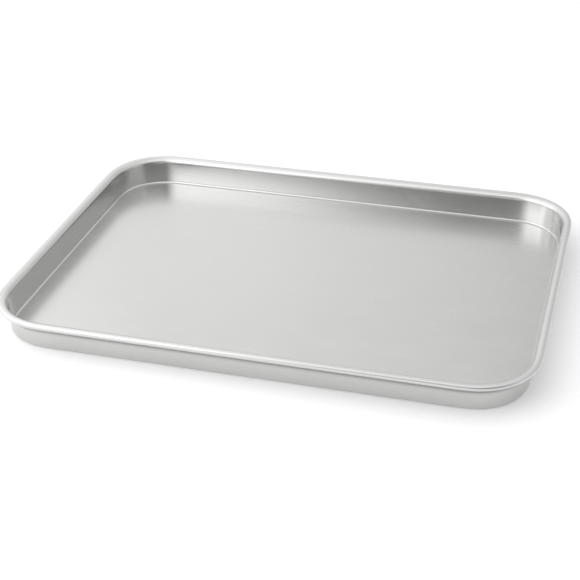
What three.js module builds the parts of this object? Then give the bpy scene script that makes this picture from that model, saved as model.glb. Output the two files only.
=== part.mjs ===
// Shallow oblong baking pan: one pressed aluminium sheet with round corners, whose walls open out
// towards the top, flare into the rim and are rolled down round a stiffening wire.
// Millimetres, +Z up. The origin is the centre of the flat underside, with the length along X.
import * as THREE from "three";

// Sizes of the pressed pan
const PAN_LENGTH = 406.4; // over the rolled rim
const PAN_WIDTH = 304.8; // over the rolled rim
const PAN_HEIGHT = 24.1; // underside to the top of the rim
const RIM_CORNER_RADIUS = 49.3; // outer edge of the rim, in plan
const SHEET = 0.8; // thickness of the metal
const FLOOR_FILLET = 1.5; // inside bend between floor and wall
const WALL_OPENING = 7; // degrees that the walls lean out at the top; they stand upright at the foot
const FLARE_BEND = 4.5; // underside radius where the wall turns out into the rim
const CURL_TURN = 240; // degrees that the roll turns, from the top of the rim to the sheet's edge

// Sizes of the wire inside the roll
const WIRE_DIAMETER = 2.4;
const WIRE_CLEARANCE = 0.3; // all round, between the wire and the inside of the roll
const WIRE_JOINT_GAP = 1; // between the two cut ends, at the middle of the +Y side

// Facets of the round stretches
const CORNER_FACETS = 10;
const FILLET_FACETS = 5;
const WALL_FACETS = 4;
const FLARE_FACETS = 6;
const CURL_FACETS = 16;
const WIRE_FACETS = 12;

const quarterTurn = Math.PI / 2;
const wireRadius = WIRE_DIAMETER / 2;
const rollInside = wireRadius + WIRE_CLEARANCE;
const rollOutside = rollInside + SHEET;
const rollZ = PAN_HEIGHT - rollOutside;

// In plan, everything follows the centre line of the roll: four straights and four quarter turns.
const lineRadius = RIM_CORNER_RADIUS - rollOutside;
const cornerX = PAN_LENGTH / 2 - RIM_CORNER_RADIUS;
const cornerY = PAN_WIDTH / 2 - RIM_CORNER_RADIUS;

// A section's points are (offset outwards from the roll's centre line, height).
function arcPoints(centre, radius, from, to, facets) {
  const points = [];
  for (let i = 0; i <= facets; i += 1) {
    const angle = THREE.MathUtils.lerp(from, to, i / facets);
    const spoke = new THREE.Vector2(Math.cos(angle), Math.sin(angle));
    points.push(centre.clone().addScaledVector(spoke, radius));
  }
  return points;
}

// The sheet's section: along its upper face from the edge of the flat floor, up the wall and over
// the rim to the rolled edge, and back along its lower face. Both faces share their arc centres.
function sheetSection() {
  const opening = THREE.MathUtils.degToRad(WALL_OPENING);
  const flareOutside = FLARE_BEND + SHEET;
  const flareCentre = new THREE.Vector2(0, PAN_HEIGHT - flareOutside);
  const rollCentre = new THREE.Vector2(0, rollZ);
  const bendZ = SHEET + FLOOR_FILLET;
  // The wall is a wide arc, upright where the floor bend ends, that runs on into the flare. Its
  // centre is level with the floor bend's, and in line with the flare's where the two arcs meet.
  const beyondFlare = (flareCentre.y - bendZ) / Math.sin(opening);
  const wallRadius = beyondFlare + flareOutside;
  const wallCentre = new THREE.Vector2(beyondFlare * Math.cos(opening), bendZ);
  const bendCentre = new THREE.Vector2(wallCentre.x - wallRadius - FLOOR_FILLET, bendZ);
  const wallTop = Math.PI - opening;
  const curlEnd = quarterTurn - THREE.MathUtils.degToRad(CURL_TURN);

  const upperBend = arcPoints(bendCentre, FLOOR_FILLET, -quarterTurn, 0, FILLET_FACETS);
  const upperWall = arcPoints(wallCentre, wallRadius, Math.PI, wallTop, WALL_FACETS);
  const upperFlare = arcPoints(flareCentre, flareOutside, wallTop, quarterTurn, FLARE_FACETS);
  const upperRoll = arcPoints(rollCentre, rollOutside, quarterTurn, curlEnd, CURL_FACETS);
  const lowerRoll = arcPoints(rollCentre, rollInside, curlEnd, quarterTurn, CURL_FACETS);
  const lowerFlare = arcPoints(flareCentre, FLARE_BEND, quarterTurn, wallTop, FLARE_FACETS);
  const lowerWall = arcPoints(wallCentre, wallRadius - SHEET, wallTop, Math.PI, WALL_FACETS);
  const lowerBend = arcPoints(bendCentre, bendZ, 0, -quarterTurn, FILLET_FACETS);
  // Where two arcs meet, their shared point is taken once.
  const upperFace = [...upperBend, ...upperWall.slice(1), ...upperFlare.slice(1), ...upperRoll.slice(1)];
  const lowerFace = [...lowerRoll, ...lowerFlare.slice(1), ...lowerWall.slice(1), ...lowerBend.slice(1)];
  return [...upperFace, ...lowerFace];
}

// A station is a place on the centre line: the centre it turns about and the way that is outwards.
function cornerStations(quarter) {
  const middle = (quarter + 0.5) * quarterTurn;
  const x = Math.sign(Math.cos(middle)) * cornerX;
  const y = Math.sign(Math.sin(middle)) * cornerY;
  const stations = [];
  for (let i = 0; i <= CORNER_FACETS; i += 1) {
    stations.push({ x, y, outwards: (quarter + i / CORNER_FACETS) * quarterTurn });
  }
  return stations;
}

// The section set up at each station, as one list of coordinates, ring after ring.
function ringPositions(stations, section) {
  const positions = [];
  for (const { x, y, outwards } of stations) {
    for (const point of section) {
      const reach = lineRadius + point.x;
      positions.push(x + reach * Math.cos(outwards), y + reach * Math.sin(outwards), point.y);
    }
  }
  return positions;
}

// Triangles between neighbouring rings. They face away from the metal, which lies to the right of
// the section's direction while the rings run anticlockwise.
function bandFaces(rings, points, ringsClose, sectionCloses) {
  const faces = [];
  for (let i = 0; i < (ringsClose ? rings : rings - 1); i += 1) {
    for (let j = 0; j < (sectionCloses ? points : points - 1); j += 1) {
      const here = i * points;
      const next = ((i + 1) % rings) * points;
      const k = (j + 1) % points;
      faces.push(here + j, here + k, next + k);
      faces.push(here + j, next + k, next + j);
    }
  }
  return faces;
}

// Triangles from a hub to a closed edge, which runs anticlockwise as seen from outside.
function fanFaces(hub, edge) {
  return edge.flatMap((vertex, i) => [hub, vertex, edge[(i + 1) % edge.length]]);
}

function solid(positions, faces) {
  const geometry = new THREE.BufferGeometry();
  geometry.setAttribute("position", new THREE.Float32BufferAttribute(positions, 3));
  geometry.setIndex(faces);
  geometry.computeVertexNormals();
  return geometry;
}

// Pan body: the sheet's section carried round the centre line, closed by the flat floor's two faces
function panBody() {
  const section = sheetSection();
  const stations = [0, 1, 2, 3].flatMap(cornerStations);
  const positions = ringPositions(stations, section);
  const faces = bandFaces(stations.length, section.length, true, false);
  const floorTop = stations.map((station, i) => i * section.length);
  const floorUnder = floorTop.map((vertex) => vertex + section.length - 1).reverse();
  const topHub = positions.length / 3;
  positions.push(0, 0, SHEET);
  positions.push(0, 0, 0);
  faces.push(...fanFaces(topHub, floorTop), ...fanFaces(topHub + 1, floorUnder));
  const material = new THREE.MeshStandardMaterial({ color: 0xd3d4d6, roughness: 0.32, metalness: 1 });
  const mesh = new THREE.Mesh(solid(positions, faces), material);
  mesh.name = "pan_body";
  return mesh;
}

// Rim wire: one length of round steel wire, bent to the centre line, its two ends nearly meeting
function rimWire() {
  const section = arcPoints(new THREE.Vector2(0, rollZ), wireRadius, 2 * Math.PI, 0, WIRE_FACETS);
  section.pop();
  const startEnd = { x: -WIRE_JOINT_GAP / 2, y: cornerY, outwards: quarterTurn };
  const lastEnd = { x: WIRE_JOINT_GAP / 2, y: cornerY, outwards: quarterTurn };
  const stations = [startEnd, ...[1, 2, 3, 0].flatMap(cornerStations), lastEnd];
  const positions = ringPositions(stations, section);
  const faces = bandFaces(stations.length, section.length, false, true);
  const startEdge = section.map((point, i) => i).reverse();
  const lastEdge = section.map((point, i) => (stations.length - 1) * section.length + i);
  const startHub = positions.length / 3;
  positions.push(startEnd.x, cornerY + lineRadius, rollZ);
  positions.push(lastEnd.x, cornerY + lineRadius, rollZ);
  faces.push(...fanFaces(startHub, startEdge), ...fanFaces(startHub + 1, lastEdge));
  const material = new THREE.MeshStandardMaterial({ color: 0x9fa1a3, roughness: 0.45, metalness: 1 });
  const mesh = new THREE.Mesh(solid(positions, faces), material);
  mesh.name = "rim_wire";
  return mesh;
}

const bakingPan = new THREE.Group();
bakingPan.name = "baking_pan";
bakingPan.add(panBody(), rimWire());

export default bakingPan;
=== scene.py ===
import math

import bpy
import numpy as np
from mathutils import Matrix, Vector


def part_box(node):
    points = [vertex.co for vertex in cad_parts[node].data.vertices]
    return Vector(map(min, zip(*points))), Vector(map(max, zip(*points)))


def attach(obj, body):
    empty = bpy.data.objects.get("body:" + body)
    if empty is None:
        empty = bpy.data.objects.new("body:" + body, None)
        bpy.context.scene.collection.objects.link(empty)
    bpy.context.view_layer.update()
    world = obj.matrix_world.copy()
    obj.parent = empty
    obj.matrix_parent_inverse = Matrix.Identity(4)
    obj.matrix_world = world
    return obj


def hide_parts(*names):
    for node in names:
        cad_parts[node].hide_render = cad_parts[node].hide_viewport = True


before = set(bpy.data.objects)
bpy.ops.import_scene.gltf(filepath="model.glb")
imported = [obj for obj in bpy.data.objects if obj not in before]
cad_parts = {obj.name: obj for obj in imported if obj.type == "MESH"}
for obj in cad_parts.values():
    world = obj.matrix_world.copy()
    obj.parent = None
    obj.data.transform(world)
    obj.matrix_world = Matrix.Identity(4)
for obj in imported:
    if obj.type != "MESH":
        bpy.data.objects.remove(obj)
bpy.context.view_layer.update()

# Pan body
# One sheet of satin silver aluminium, pressed in one stroke: a flat floor, walls that stand upright
# at the foot and open out towards the top, and an edge that is rolled down round a wire.
pan_low, pan_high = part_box("pan_body")
pan_top = pan_high[2]
rim_corner_radius = 0.0493
sheet = 0.0008
floor_fillet = 0.0015
wall_opening = math.radians(7)
flare_bend = 0.0045
curl_turn = math.radians(240)
wire_radius = 0.0012
wire_clearance = 0.0003
roll_inside = wire_radius + wire_clearance
roll_outside = roll_inside + sheet
roll_centre = np.array([0.0, pan_top - roll_outside])
line_half = np.array([pan_high[0], pan_high[1]]) - roll_outside
line_radius = rim_corner_radius - roll_outside
corner_easing = 0.3
# Heights below the rim's top where the painted shade under the rolled rim, and its rougher metal, start and
# become full. The dark band stands in for the shadow in the gap under the roll.
painted_shade_and_dull_foot, painted_shade_and_dull_full = 0.0112, 0.0080
corner_steps = 40
straight_steps = 12
quarter_turn = math.pi / 2


def eased(steps):
    """Shares of the way from 0 to 1 in even steps of a half circle, so that they crowd at both ends."""
    return (1 - np.cos(np.linspace(0, math.pi, steps + 1))) / 2


def arc(centre, radius, start, stop, steps):
    """Points of a circle's arc: the centre plus radius times (cosine, sine) of evenly spaced angles."""
    angles = np.linspace(start, stop, steps + 1)
    return centre + radius * np.stack([np.cos(angles), np.sin(angles)], axis=1)


def straight(start, stop, steps):
    """Points between two ends, which are left out, at the shares of the way that eased gives."""
    return start + (stop - start) * eased(steps)[1:-1, None]


def sheet_section():
    """The sheet's upper and lower face in section, as (offset outwards from the roll's line, height).

    The upper face runs from the floor's edge over the rim to the cut edge, and the lower face back
    from there. The wall is a wide arc, upright at its foot, that runs on into the flare: its
    centre is level with the floor bend's and in line with the flare's. Both faces share the centres.
    """
    flare_outside = flare_bend + sheet
    flare_centre = np.array([0.0, pan_top - flare_outside])
    bend_z = sheet + floor_fillet
    beyond_flare = (flare_centre[1] - bend_z) / math.sin(wall_opening)
    wall_radius = beyond_flare + flare_outside
    wall_centre = np.array([beyond_flare * math.cos(wall_opening), bend_z])
    bend_centre = wall_centre - [wall_radius + floor_fillet, 0.0]
    wall_top = math.pi - wall_opening
    curl_end = quarter_turn - curl_turn
    upper_bend = arc(bend_centre, floor_fillet, -quarter_turn, 0.0, 14)
    upper_wall = arc(wall_centre, wall_radius, math.pi, wall_top, 12)
    upper_flare = arc(flare_centre, flare_outside, wall_top, quarter_turn, 18)
    upper_roll = arc(roll_centre, roll_outside, quarter_turn, curl_end, 48)
    lower_roll = arc(roll_centre, roll_inside, curl_end, quarter_turn, 24)
    lower_flare = arc(flare_centre, flare_bend, quarter_turn, wall_top, 10)
    lower_wall = arc(wall_centre, wall_radius - sheet, wall_top, math.pi, 12)
    lower_bend = arc(bend_centre, bend_z, 0.0, -quarter_turn, 14)
    upper_face = np.concatenate([upper_bend, upper_wall[1:], upper_flare[1:], upper_roll[1:]])
    lower_face = np.concatenate([lower_roll, lower_flare[1:], lower_wall[1:], lower_bend[1:]])
    return upper_face, lower_face


def corner_line():
    """One corner of the roll's centre line: points from where its two sides would cross, and angles.

    The bend sets in and fades over a share of the corner's length at either end, along half a cosine
    wave. The outward angle is its running sum, scaled to a quarter turn, and the points are the
    running sum of the heading, scaled to pass the middle of an arc of the line's radius.
    """
    finer = 20
    way = np.linspace(0, 1, corner_steps * finer + 1)
    onset = np.clip(np.minimum(way, 1 - way) / corner_easing, 0, 1)
    bend = (1 - np.cos(math.pi * onset)) / 2
    angles = np.concatenate([[0], np.cumsum(bend[1:] + bend[:-1])])
    angles *= quarter_turn / angles[-1]
    heading = np.stack([-np.sin(angles), np.cos(angles)], axis=1)
    points = np.concatenate([[[0, 0]], np.cumsum(heading[1:] + heading[:-1], axis=0)])
    points[:, 1] -= points[-1, 1]
    points *= line_radius * (math.sqrt(2) - 1) / np.linalg.norm(points[len(way) // 2])
    return points[::finer], angles[::finer]


def rim_line():
    """Stations round the roll's centre line, anticlockwise: the point (x, y) and the outward angle.

    Each quarter is a corner, turned by so many right angles and set where two sides would cross,
    then the straight side to the next corner, on which the angle stays.
    """
    points, angles = corner_line()
    crossings = line_half * np.array([[1, 1], [-1, 1], [-1, -1], [1, -1]])
    turned = []
    for quarter, crossing in enumerate(crossings):
        across, along = math.cos(quarter * quarter_turn), math.sin(quarter * quarter_turn)
        turned.append(crossing + points @ np.array([[across, along], [-along, across]]))
    places, outwards = [], []
    for quarter, corner in enumerate(turned):
        side = straight(corner[-1], turned[(quarter + 1) % 4][0], straight_steps)
        places += [corner, side]
        outwards += [angles + quarter * quarter_turn, np.full(len(side), (quarter + 1) * quarter_turn)]
    return np.concatenate(places), np.concatenate(outwards)


def carried(section, places, angles):
    """The section at every station: the station's point plus the offset along its outward angle."""
    x = places[:, 0, None] + section[None, :, 0] * np.cos(angles)[:, None]
    y = places[:, 1, None] + section[None, :, 0] * np.sin(angles)[:, None]
    z = np.broadcast_to(section[None, :, 1], x.shape)
    return np.stack([x, y, z], axis=2)


def band_faces(rings, points, rings_close, section_closes):
    """Corners of each quad between neighbouring rings and points, which wrap round where they close."""
    index = np.arange(rings * points).reshape(rings, points)
    if rings_close:
        index = np.concatenate([index, index[:1]])
    if section_closes:
        index = np.concatenate([index, index[:, :1]], axis=1)
    quads = np.stack([index[:-1, :-1], index[:-1, 1:], index[1:, 1:], index[1:, :-1]], axis=2)
    return quads.reshape(-1, 4)


def fan_faces(hub, edge):
    """Corners of the triangles from a hub to a closed edge, anticlockwise as seen from outside."""
    return np.stack([np.full(len(edge), hub), edge, np.roll(edge, -1)], axis=1)


def pan_mesh():
    """The pan as rings about the centre: floor, carried section, underside.

    The floor's rings are the section's first ring shrunk towards the middle, and the underside's are
    its last ring shrunk the same way. A fan of triangles closes each at the middle. A point attribute
    is 0 but for the lower face, where it rises to 1 with the height under the rim. It marks where shade
    under the rolled rim is painted into the metal's colour, and where the metal is rougher.
    """
    upper_face, lower_face = sheet_section()
    band = carried(np.concatenate([upper_face, lower_face]), *rim_line())
    shares = eased(16)[1:-1, None]
    middle = np.array([1.0, 1.0, 0.0])
    floor = band[:, :1] * (shares * middle + (1 - middle))
    underside = band[:, -1:] * (shares[::-1] * middle + (1 - middle))
    grid = np.concatenate([floor, band, underside], axis=1)
    rings, points = grid.shape[:2]
    hubs = np.array([[0.0, 0.0, sheet], [0.0, 0.0, 0.0]])
    hub = rings * points
    first = np.arange(rings) * points
    last = first + points - 1
    mesh = bpy.data.meshes.new("pan_sheet")
    corners = np.concatenate([grid.reshape(-1, 3), hubs]).tolist()
    faces = band_faces(rings, points, True, False).tolist()
    faces += fan_faces(hub, first).tolist() + fan_faces(hub + 1, last[::-1]).tolist()
    mesh.from_pydata(corners, [], faces)
    # The mask of painted shade under the rolled rim: 1 on the lower face high under the roll, fading to 0
    # down the outer wall. It also marks the rougher metal there.
    painted_shade_and_dull_mask = np.zeros((rings, points))
    climb = (lower_face[:, 1] - pan_top + painted_shade_and_dull_foot) / (painted_shade_and_dull_foot - painted_shade_and_dull_full)
    start = floor.shape[1] + len(upper_face)
    painted_shade_and_dull_mask[:, start:start + len(lower_face)] = np.clip(climb, 0, 1)
    kept = mesh.attributes.new("painted_shade_and_dull_mask", "FLOAT", "POINT")
    kept.data.foreach_set("value", np.concatenate([painted_shade_and_dull_mask.ravel(), [0, 0]]))
    return mesh


def finished(mesh, name):
    """An object of that mesh at the origin, smooth but for its cut edges."""
    mesh.shade_smooth()
    mesh.set_sharp_from_angle(angle=math.radians(50))
    piece = bpy.data.objects.new(name, mesh)
    bpy.context.scene.collection.objects.link(piece)
    return piece


def place(tree, kind, inputs=None, **settings):
    """Adds a node to a tree. Each input is a plain value, or a socket that it is linked from."""
    made = tree.nodes.new(kind)
    for name, value in settings.items():
        setattr(made, name, value)
    for name, value in (inputs or {}).items():
        if isinstance(value, bpy.types.NodeSocket):
            tree.links.new(value, made.inputs[name])
        else:
            made.inputs[name].default_value = value
    return made


def grain_group():
    """A group that turns a place into the height of a metal's grain, 0 to 1.

    The place is multiplied by Run, the number of grains to the metre along each axis, so that a
    small number draws the grain out along that axis.
    """
    tree = bpy.data.node_groups.new("metal_grain", "ShaderNodeTree")
    tree.interface.new_socket("Place", in_out="INPUT", socket_type="NodeSocketVector")
    tree.interface.new_socket("Run", in_out="INPUT", socket_type="NodeSocketVector")
    tree.interface.new_socket("Grain", in_out="OUTPUT", socket_type="NodeSocketFloat")
    entry = tree.nodes.new("NodeGroupInput")
    factors = {0: entry.outputs["Place"], 1: entry.outputs["Run"]}
    drawn = place(tree, "ShaderNodeVectorMath", factors, operation="MULTIPLY").outputs[0]
    noise = place(tree, "ShaderNodeTexNoise", {"Vector": drawn, "Scale": 1.0, "Detail": 2.0})
    place(tree, "NodeGroupOutput", {"Grain": noise.outputs["Fac"]})
    return tree


def satin_aluminium():
    """Etched and anodised sheet: a matt floor, walls burnished by the press tool, and a paler rim.

    Faint rolling grain runs along the length, with an even speckle over it and slow cloudiness under
    it. All three move the tone a little and the roughness more, and the first two the surface by a
    micron or two. Under the rim the metal is rougher, and the shade in the gap under the rolled rim
    is painted into its colour as a dark band.
    """
    floor_roughness, wall_roughness, rim_roughness = 0.25, 0.16, 0.31
    grain_roughness, cloud_roughness = 0.03, 0.04
    dark_metal, light_metal = (0.587, 0.586, 0.581, 1), (0.617, 0.616, 0.611, 1)
    rim_metal = (0.645, 0.644, 0.639, 1)
    # Painted shade: this dark colour under the rolled rim stands in for the shadow in the gap under the
    # roll. The roughness beside it is the rougher metal there.
    painted_shade_metal, recess_roughness = (0.2, 0.198, 0.195, 1), 0.25
    rolling_run, speckle_run, cloud_run = (90, 2600, 2600), (3200, 3200, 3200), (22, 30, 30)
    grain_depth = 0.000002
    material = bpy.data.materials.new("satin_aluminium")
    material.use_nodes = True
    tree = material.node_tree
    metal = tree.nodes["Principled BSDF"]
    metal.inputs["Metallic"].default_value = 1.0
    spot = place(tree, "ShaderNodeTexCoord").outputs["Object"]
    height = place(tree, "ShaderNodeSeparateXYZ", {0: spot}).outputs["Z"]
    # The mask of painted shade under the rim, which also raises the roughness there.
    painted_shade_and_dull_mask = place(tree, "ShaderNodeAttribute", attribute_name="painted_shade_and_dull_mask").outputs["Fac"]

    def grain(run):
        sockets = {"Place": spot, "Run": run}
        return place(tree, "ShaderNodeGroup", sockets, node_tree=metal_grain).outputs["Grain"]

    def rise(value, low, high, at_low, at_high):
        sockets = {"Value": value, "From Min": low, "From Max": high, "To Min": at_low, "To Max": at_high}
        return place(tree, "ShaderNodeMapRange", sockets, interpolation_type="SMOOTHSTEP").outputs["Result"]

    def total(first, second):
        return place(tree, "ShaderNodeMath", {0: first, 1: second}, operation="ADD").outputs[0]

    def halfway(first, second):
        return place(tree, "ShaderNodeMix", {"Factor": 0.5, "A": first, "B": second}).outputs["Result"]

    def blend(share, first, second):
        sockets = {"Factor": share, "A": first, "B": second}
        return place(tree, "ShaderNodeMix", sockets, data_type="RGBA").outputs["Result"]

    texture = halfway(grain(rolling_run), grain(speckle_run))
    cloud = grain(cloud_run)
    colour = place(tree, "ShaderNodeValToRGB", {"Fac": halfway(texture, cloud)})
    colour.color_ramp.elements[0].position = 0.3
    colour.color_ramp.elements[0].color = dark_metal
    colour.color_ramp.elements[1].position = 0.7
    colour.color_ramp.elements[1].color = light_metal
    on_rim = rise(height, roll_centre[1] - roll_outside, roll_centre[1], 0.0, 1.0)
    clean = blend(on_rim, colour.outputs["Color"], rim_metal)
    # The painted shade under the rolled rim darkens the base colour here.
    tree.links.new(blend(painted_shade_and_dull_mask, clean, painted_shade_metal), metal.inputs["Base Color"])
    burnish = total(
        rise(height, sheet, sheet + floor_fillet, floor_roughness, wall_roughness),
        rise(on_rim, 0.0, 1.0, 0.0, rim_roughness - wall_roughness),
    )
    dulled = total(burnish, rise(painted_shade_and_dull_mask, 0.0, 1.0, 0.0, recess_roughness))
    uneven = total(
        rise(texture, 0.3, 0.7, -grain_roughness / 2, grain_roughness / 2),
        rise(cloud, 0.3, 0.7, -cloud_roughness / 2, cloud_roughness / 2),
    )
    tree.links.new(total(dulled, uneven), metal.inputs["Roughness"])
    relief = place(tree, "ShaderNodeBump", {"Strength": 1.0, "Distance": grain_depth, "Height": texture})
    tree.links.new(relief.outputs["Normal"], metal.inputs["Normal"])
    return material


metal_grain = grain_group()
pan_body = finished(pan_mesh(), "pan_sheet")
pan_body.data.materials.append(satin_aluminium())
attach(pan_body, "root")
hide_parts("pan_body")

# Rim wire
# One length of drawn steel wire, bent to the rim and held by the roll, which hides nearly all of it.
# Its two cut ends nearly meet at the middle of the +Y side.
wire_joint_gap = 0.001
wire_sides = 24


def wire_mesh():
    """A tube along the roll's centre line, from one cut end round to the other, closed by two fans.

    The attribute "unbent" keeps each point's place on the wire before it was bent: how far along it
    lies, and its place in the round section.
    """
    places, angles = rim_line()
    middle = corner_steps + straight_steps // 2
    places = np.roll(places, -middle - 1, axis=0)
    angles = np.roll(angles, -middle - 1)
    ends = np.array([[-1, 0], [1, 0]]) * wire_joint_gap / 2 + [0, line_half[1]]
    places = np.concatenate([ends[:1], places[:-1], ends[1:]])
    angles = np.concatenate([[quarter_turn], angles[:-1], [quarter_turn]])
    section = arc(roll_centre, wire_radius, 2 * math.pi, 0, wire_sides)[:-1]
    grid = carried(section, places, angles)
    hubs = carried(roll_centre[None], places, angles)[:, 0]
    along = np.concatenate([[0], np.cumsum(np.linalg.norm(np.diff(hubs, axis=0), axis=1))])
    rings = len(hubs)
    first = np.arange(wire_sides)
    last = first + (rings - 1) * wire_sides
    hub = rings * wire_sides
    mesh = bpy.data.meshes.new("rim_wire_steel")
    faces = band_faces(rings, wire_sides, False, True).tolist()
    faces += fan_faces(hub, first[::-1]).tolist() + fan_faces(hub + 1, last).tolist()
    mesh.from_pydata(np.concatenate([grid.reshape(-1, 3), hubs[:1], hubs[-1:]]).tolist(), [], faces)
    unbent = np.zeros((rings, wire_sides, 3))
    unbent[:, :, 0] = along[:, None]
    unbent[:, :, 1:] = section - roll_centre
    cut = np.array([[along[0], 0, 0], [along[-1], 0, 0]])
    kept = mesh.attributes.new("unbent", "FLOAT_VECTOR", "POINT")
    kept.data.foreach_set("vector", np.concatenate([unbent.reshape(-1, 3), cut]).ravel())
    return mesh


def drawn_steel():
    """Bright wire pulled through a die: fine scratches along its length in a grey skin."""
    dark_skin, light_skin = (0.42, 0.42, 0.43, 1), (0.60, 0.605, 0.61, 1)
    die_scratches = (60, 5200, 5200)
    scratch_depth = 0.000006
    material = bpy.data.materials.new("drawn_steel")
    material.use_nodes = True
    tree = material.node_tree
    metal = tree.nodes["Principled BSDF"]
    metal.inputs["Metallic"].default_value = 1.0
    spot = place(tree, "ShaderNodeAttribute", attribute_name="unbent").outputs["Vector"]
    scratched = place(tree, "ShaderNodeGroup", {"Place": spot, "Run": die_scratches}, node_tree=metal_grain)
    scratches = scratched.outputs["Grain"]
    tones = {"Factor": scratches, "A": dark_skin, "B": light_skin}
    skin = place(tree, "ShaderNodeMix", tones, data_type="RGBA")
    tree.links.new(skin.outputs["Result"], metal.inputs["Base Color"])
    dull = place(tree, "ShaderNodeMapRange", {"Value": scratches, "To Min": 0.5, "To Max": 0.3})
    tree.links.new(dull.outputs["Result"], metal.inputs["Roughness"])
    ridges = {"Strength": 1.0, "Distance": scratch_depth, "Height": scratches}
    relief = place(tree, "ShaderNodeBump", ridges)
    tree.links.new(relief.outputs["Normal"], metal.inputs["Normal"])
    return material


rim_wire = finished(wire_mesh(), "rim_wire_steel")
rim_wire.data.materials.append(drawn_steel())
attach(rim_wire, "root")
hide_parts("rim_wire")

# Studio floor
# A wide sheet of white paper that the pan stands on. What the camera and the metal see of it is
# lifted to white by a little glow, and the light that falls on it still draws the pan's shadow.
paper_reach = 12.0
paper_drop = 0.0002
paper_white = (0.86, 0.86, 0.86, 1)
paper_glow = 0.18
paper_mesh = bpy.data.meshes.new("studio_paper")
paper_corners = np.array([[-1, -1, 0], [1, -1, 0], [1, 1, 0], [-1, 1, 0]]) * paper_reach
paper_mesh.from_pydata((paper_corners - [0, 0, paper_drop]).tolist(), [], [[0, 1, 2, 3]])
paper = bpy.data.objects.new("studio_paper", paper_mesh)
bpy.context.scene.collection.objects.link(paper)
white_paper = bpy.data.materials.new("white_paper")
white_paper.use_nodes = True
fibre_tree = white_paper.node_tree
fibre_tree.nodes.clear()
fibres = place(fibre_tree, "ShaderNodeBsdfDiffuse", {"Color": paper_white})
ray = place(fibre_tree, "ShaderNodeLightPath").outputs
mirrored = place(fibre_tree, "ShaderNodeMath", {
    0: ray["Is Camera Ray"], 1: ray["Is Glossy Ray"]}, operation="MAXIMUM")
seen = place(fibre_tree, "ShaderNodeMath", {
    0: mirrored.outputs[0], 1: ray["Is Transmission Ray"]}, operation="MAXIMUM")
glow_strength = place(fibre_tree, "ShaderNodeMath", {
    0: seen.outputs[0], 1: paper_glow}, operation="MULTIPLY")
glow = place(fibre_tree, "ShaderNodeEmission", {"Strength": glow_strength.outputs[0]})
lifted = place(fibre_tree, "ShaderNodeAddShader", {0: fibres.outputs[0], 1: glow.outputs[0]})
place(fibre_tree, "ShaderNodeOutputMaterial", {"Surface": lifted.outputs[0]})
paper_mesh.materials.append(white_paper)

# Light tent
# A dome of white cloth close over the pan, lit from outside by soft lamps: the brightest at the front
# left, one at the left, paler cloth all round, a low strip along the front, and a canopy overhead.
tent_reach = 1.1
cloth_level = 0.12


def tent_mesh():
    """Half a sphere over the paper: rings of equal elevation, closed by a fan at the top."""
    sides, rows = 72, 18
    around = np.linspace(0, 2 * math.pi, sides + 1)[:-1]
    climb = np.linspace(0, quarter_turn, rows + 1)[:-1]
    grid = np.stack([
        np.cos(climb)[None] * np.cos(around)[:, None],
        np.cos(climb)[None] * np.sin(around)[:, None],
        np.broadcast_to(np.sin(climb)[None], (sides, rows)),
    ], axis=2) * tent_reach
    corners = np.concatenate([grid.reshape(-1, 3), [[0, 0, tent_reach]]])
    faces = band_faces(sides, rows, True, False).tolist()
    faces += fan_faces(sides * rows, np.arange(sides) * rows + rows - 1).tolist()
    mesh = bpy.data.meshes.new("light_tent")
    mesh.from_pydata(corners.tolist(), [], faces)
    return mesh


def softbox_group():
    """A group that gives 1 inside a patch of the tent and 0 outside, with soft edges.

    The place is turned so that the patch's middle azimuth (0 behind, along +Y, and positive to the
    right) comes to zero. Then the sizes of the turned azimuth and of the elevation are each eased
    across the patch's edges and multiplied. All angles are in radians.
    """
    tree = bpy.data.node_groups.new("softbox", "ShaderNodeTree")
    for name in ("Middle", "Half width", "Low", "High", "Softness"):
        tree.interface.new_socket(name, in_out="INPUT", socket_type="NodeSocketFloat")
    tree.interface.new_socket("Place", in_out="INPUT", socket_type="NodeSocketVector")
    tree.interface.new_socket("Inside", in_out="OUTPUT", socket_type="NodeSocketFloat")
    entry = tree.nodes.new("NodeGroupInput").outputs

    def reckon(operation, *values):
        return place(tree, "ShaderNodeMath", dict(enumerate(values)), operation=operation).outputs[0]

    def eased_edge(value, edge, sign):
        reach = reckon("MULTIPLY", entry["Softness"], sign)
        sockets = {
            "Value": value,
            "From Min": reckon("SUBTRACT", edge, reach),
            "From Max": reckon("ADD", edge, reach),
        }
        return place(tree, "ShaderNodeMapRange", sockets, interpolation_type="SMOOTHSTEP").outputs["Result"]

    unit = place(tree, "ShaderNodeVectorMath", {0: entry["Place"]}, operation="NORMALIZE")
    turned = place(tree, "ShaderNodeVectorRotate", {
        "Vector": unit.outputs[0], "Angle": entry["Middle"]}, rotation_type="Z_AXIS")
    parts = place(tree, "ShaderNodeSeparateXYZ", {0: turned.outputs[0]}).outputs
    azimuth = reckon("ABSOLUTE", reckon("ARCTAN2", parts["X"], parts["Y"]))
    elevation = reckon("ARCSINE", parts["Z"])
    across = eased_edge(azimuth, entry["Half width"], -1.0)
    above = eased_edge(elevation, entry["Low"], 1.0)
    below = eased_edge(elevation, entry["High"], -1.0)
    inside = reckon("MULTIPLY", across, reckon("MULTIPLY", above, below))
    place(tree, "NodeGroupOutput", {"Inside": inside})
    return tree


def softbox(level, left, right, low, high, softness):
    """The light of one soft patch of the tent, from its edges in degrees, as a socket to add up."""
    patch = place(cloth, "ShaderNodeGroup", {
        "Middle": math.radians((left + right) / 2),
        "Half width": math.radians((right - left) / 2),
        "Low": math.radians(low),
        "High": math.radians(high),
        "Softness": math.radians(softness),
        "Place": on_cloth,
    }, node_tree=soft_patch)
    lit = place(cloth, "ShaderNodeMath", {0: patch.outputs["Inside"], 1: level}, operation="MULTIPLY")
    return lit.outputs[0]


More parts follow.
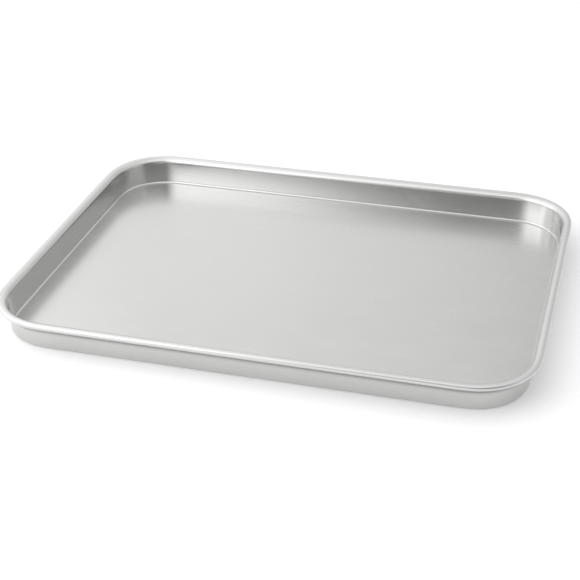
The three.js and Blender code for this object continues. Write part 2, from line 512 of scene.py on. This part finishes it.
lit_cloth = bpy.data.materials.new("lit_cloth")
lit_cloth.use_nodes = True
cloth = lit_cloth.node_tree
cloth.nodes.clear()
soft_patch = softbox_group()
on_cloth = place(cloth, "ShaderNodeTexCoord").outputs["Object"]
front_left_lamp = softbox(2.25, -163, -106, 15, 44, 14)
left_lamp = softbox(1.20, -112, -64, -5, 43, 8)
front_cloth = softbox(0.46, -252, -43, 17, 80, 13)
back_cloth = softbox(1.05, -58, -4, 4, 46, 17)
right_cloth = softbox(0.65, -5, 113, -10, 46, 13)
front_strip = softbox(1.50, -205, -105, -6, 7, 4)
canopy = softbox(0.78, -180, 180, 43, 95, 4)
brightness = cloth_level
for light in (front_left_lamp, left_lamp, front_cloth, back_cloth, right_cloth, front_strip, canopy):
    brightness = place(cloth, "ShaderNodeMath", {0: brightness, 1: light}, operation="ADD").outputs[0]
shine = place(cloth, "ShaderNodeEmission", {"Color": brightness, "Strength": 1.0})
place(cloth, "ShaderNodeOutputMaterial", {"Surface": shine.outputs[0]})
tent = bpy.data.objects.new("light_tent", tent_mesh())
tent.data.materials.append(lit_cloth)
tent.visible_camera = False
bpy.context.scene.collection.objects.link(tent)
studio = bpy.data.worlds.new("studio")
studio.use_nodes = True
studio.node_tree.nodes["Background"].inputs["Color"].default_value = (1, 1, 1, 1)
bpy.context.scene.world = studio

# Camera
# It stands in front of a long side, a little to the right, and looks down on the pan with a long lens.
# Its turns, distance and lens are those that bring the pan's outlines onto the photograph's.
view_azimuth = math.radians(15.604)
view_elevation = math.radians(29.618)
view_distance = 1.06191
view_roll = math.radians(-0.659)
frame_side = 580
lens_pixels = 1334.66
centre_pixels = Vector((8.53, -10.40))
towards = Vector((
    math.sin(view_azimuth) * math.cos(view_elevation),
    -math.cos(view_azimuth) * math.cos(view_elevation),
    math.sin(view_elevation),
))
level = Vector((0, 0, 1)).cross(towards).normalized()
upright = towards.cross(level)
right = math.cos(view_roll) * level + math.sin(view_roll) * upright
up = math.cos(view_roll) * upright - math.sin(view_roll) * level
camera_data = bpy.data.cameras.new("camera")
camera_data.sensor_width = 36.0
camera_data.lens = lens_pixels * camera_data.sensor_width / frame_side
camera_data.shift_x = -centre_pixels.x / frame_side
camera_data.shift_y = centre_pixels.y / frame_side
camera = bpy.data.objects.new("camera", camera_data)
bpy.context.scene.collection.objects.link(camera)
turn = Matrix((right, up, towards)).transposed().to_4x4()
camera.matrix_world = Matrix.Translation(towards * view_distance) @ turn
bpy.context.scene.camera = camera
bpy.context.scene.view_settings.view_transform = "Standard"
